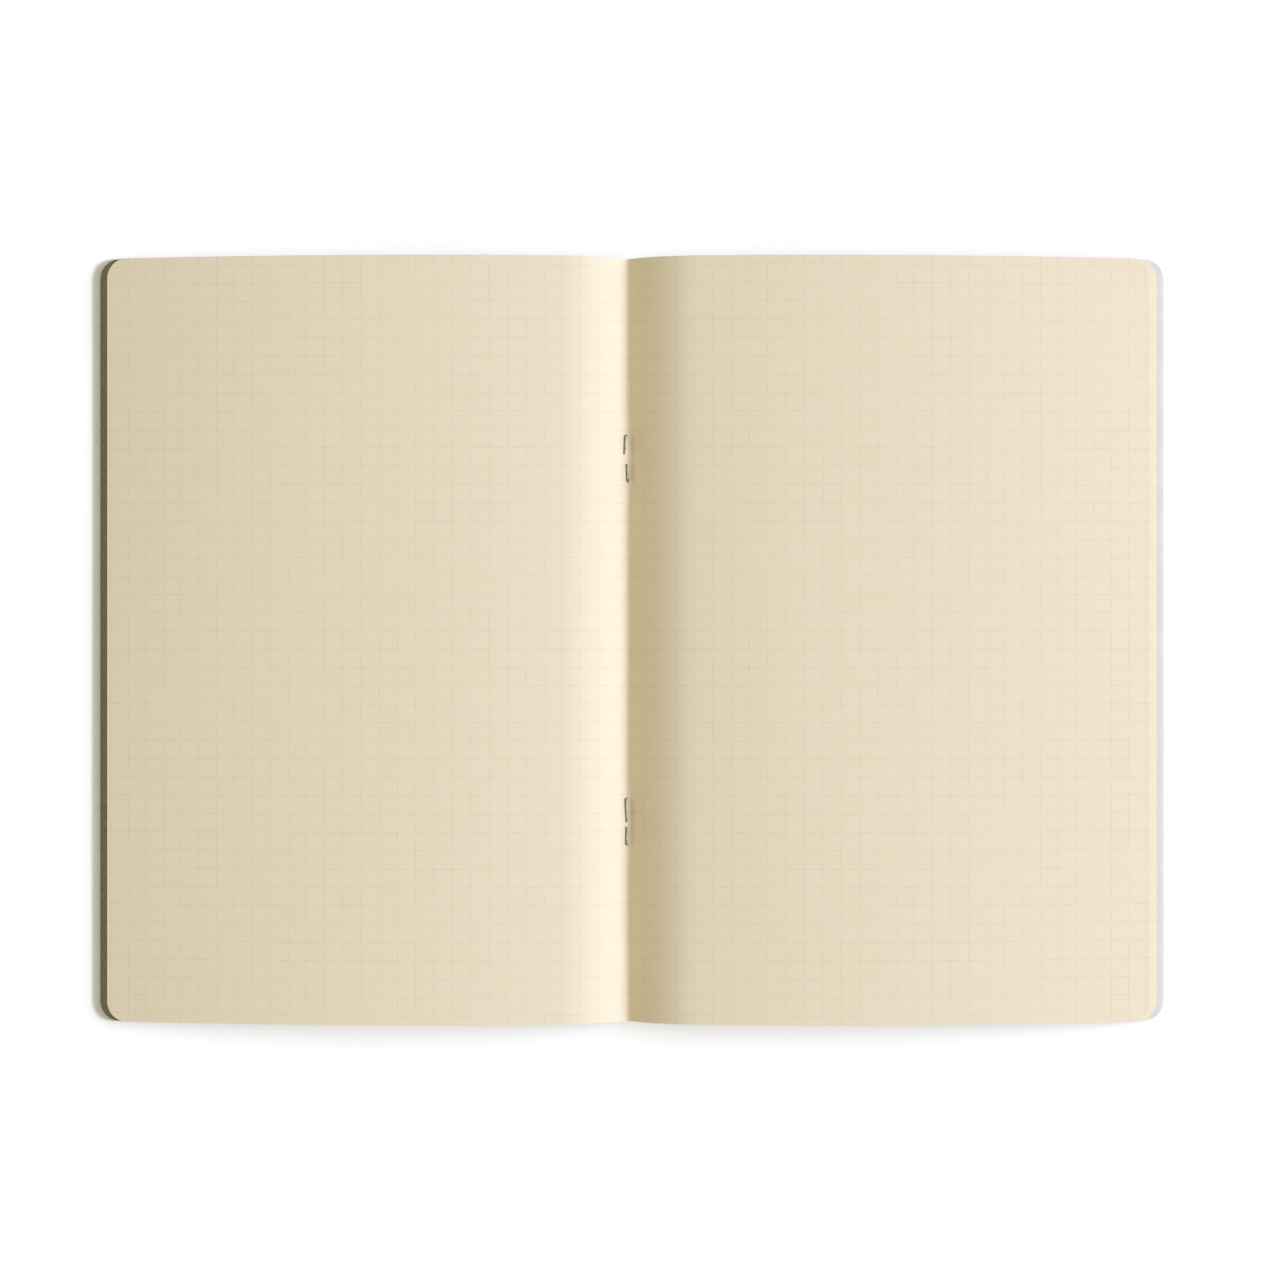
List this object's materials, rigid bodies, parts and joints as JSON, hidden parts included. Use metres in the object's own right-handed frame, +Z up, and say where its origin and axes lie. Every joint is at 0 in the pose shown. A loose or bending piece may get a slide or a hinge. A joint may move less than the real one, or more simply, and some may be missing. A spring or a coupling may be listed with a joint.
{
  "type": "notebook",
  "caption": "Saddle-stitched notebook open at its centre spread: nested folded sheets of squared paper in a plain card cover, held by two wire staples",
  "frame": {"origin": "on the table under the middle of the spine, where the staple crowns touch it", "axes": "+Z up, the spine runs along Y with the head of the page at +Y, +X is the right-hand page"},
  "size_m": [0.2956, 0.21, 0.0118],
  "materials": {
    "squared_paper": "uncoated cream paper with a faint 5 mm square grid",
    "page_paper": "uncoated cream paper",
    "cover_card": "plain light grey card",
    "staple_wire": "drawn steel wire"
  },
  "bodies": {
    "spine": {"cover_fold": "cover_card", "staple_upper": "staple_wire", "staple_lower": "staple_wire", "sheet_01_fold": "squared_paper", "sheet_02_fold": "page_paper", "sheet_03_fold": "page_paper", "sheet_04_fold": "page_paper", "sheet_05_fold": "page_paper", "sheet_06_fold": "page_paper", "sheet_07_fold": "page_paper", "sheet_08_fold": "page_paper", "sheet_09_fold": "page_paper", "sheet_10_fold": "page_paper", "sheet_11_fold": "page_paper", "sheet_12_fold": "page_paper", "sheet_13_fold": "page_paper", "sheet_14_fold": "page_paper", "sheet_15_fold": "page_paper", "sheet_16_fold": "page_paper"},
    "left_cover": {"cover_left": "cover_card"},
    "left_leaves_13_16": {"sheet_13_left": "page_paper", "sheet_14_left": "page_paper", "sheet_15_left": "page_paper", "sheet_16_left": "page_paper"},
    "left_leaves_09_12": {"sheet_09_left": "page_paper", "sheet_10_left": "page_paper", "sheet_11_left": "page_paper", "sheet_12_left": "page_paper"},
    "left_leaves_05_08": {"sheet_05_left": "page_paper", "sheet_06_left": "page_paper", "sheet_07_left": "page_paper", "sheet_08_left": "page_paper"},
    "left_leaves_01_04": {"sheet_01_left": "squared_paper", "sheet_02_left": "page_paper", "sheet_03_left": "page_paper", "sheet_04_left": "page_paper"},
    "right_cover": {"cover_right": "cover_card"},
    "right_leaves_13_16": {"sheet_13_right": "page_paper", "sheet_14_right": "page_paper", "sheet_15_right": "page_paper", "sheet_16_right": "page_paper"},
    "right_leaves_09_12": {"sheet_09_right": "page_paper", "sheet_10_right": "page_paper", "sheet_11_right": "page_paper", "sheet_12_right": "page_paper"},
    "right_leaves_05_08": {"sheet_05_right": "page_paper", "sheet_06_right": "page_paper", "sheet_07_right": "page_paper", "sheet_08_right": "page_paper"},
    "right_leaves_01_04": {"sheet_01_right": "squared_paper", "sheet_02_right": "page_paper", "sheet_03_right": "page_paper", "sheet_04_right": "page_paper"}
  },
  "joints": [
    {"name": "left_cover_turn", "type": "hinge", "parent": "spine", "child": "left_cover", "pos_m": [-0.00435, 0, 0.00765], "axis": [0, 1, 0], "range_deg": [0, 78]},
    {"name": "left_leaves_13_16_turn", "type": "hinge", "parent": "spine", "child": "left_leaves_13_16", "pos_m": [-0.00435, 0, 0.00765], "axis": [0, 1, 0], "range_deg": [0, 80.39]},
    {"name": "left_leaves_09_12_turn", "type": "hinge", "parent": "spine", "child": "left_leaves_09_12", "pos_m": [-0.00435, 0, 0.00765], "axis": [0, 1, 0], "range_deg": [0, 82.73]},
    {"name": "left_leaves_05_08_turn", "type": "hinge", "parent": "spine", "child": "left_leaves_05_08", "pos_m": [-0.00435, 0, 0.00765], "axis": [0, 1, 0], "range_deg": [0, 85.07]},
    {"name": "left_leaves_01_04_turn", "type": "hinge", "parent": "spine", "child": "left_leaves_01_04", "pos_m": [-0.00435, 0, 0.00765], "axis": [0, 1, 0], "range_deg": [0, 87.41]},
    {"name": "right_cover_turn", "type": "hinge", "parent": "spine", "child": "right_cover", "pos_m": [0.00435, 0, 0.00765], "axis": [0, -1, 0], "range_deg": [0, 78]},
    {"name": "right_leaves_13_16_turn", "type": "hinge", "parent": "spine", "child": "right_leaves_13_16", "pos_m": [0.00435, 0, 0.00765], "axis": [0, -1, 0], "range_deg": [0, 80.39]},
    {"name": "right_leaves_09_12_turn", "type": "hinge", "parent": "spine", "child": "right_leaves_09_12", "pos_m": [0.00435, 0, 0.00765], "axis": [0, -1, 0], "range_deg": [0, 82.73]},
    {"name": "right_leaves_05_08_turn", "type": "hinge", "parent": "spine", "child": "right_leaves_05_08", "pos_m": [0.00435, 0, 0.00765], "axis": [0, -1, 0], "range_deg": [0, 85.07]},
    {"name": "right_leaves_01_04_turn", "type": "hinge", "parent": "spine", "child": "right_leaves_01_04", "pos_m": [0.00435, 0, 0.00765], "axis": [0, -1, 0], "range_deg": [0, 87.41]}
  ],
  "couplings": [
    {"joint": "left_leaves_13_16_turn", "follows": "left_cover_turn", "ratio": 1.03},
    {"joint": "left_leaves_09_12_turn", "follows": "left_cover_turn", "ratio": 1.06},
    {"joint": "left_leaves_05_08_turn", "follows": "left_cover_turn", "ratio": 1.09},
    {"joint": "left_leaves_01_04_turn", "follows": "left_cover_turn", "ratio": 1.12},
    {"joint": "right_leaves_13_16_turn", "follows": "right_cover_turn", "ratio": 1.03},
    {"joint": "right_leaves_09_12_turn", "follows": "right_cover_turn", "ratio": 1.06},
    {"joint": "right_leaves_05_08_turn", "follows": "right_cover_turn", "ratio": 1.09},
    {"joint": "right_leaves_01_04_turn", "follows": "right_cover_turn", "ratio": 1.12}
  ]
}
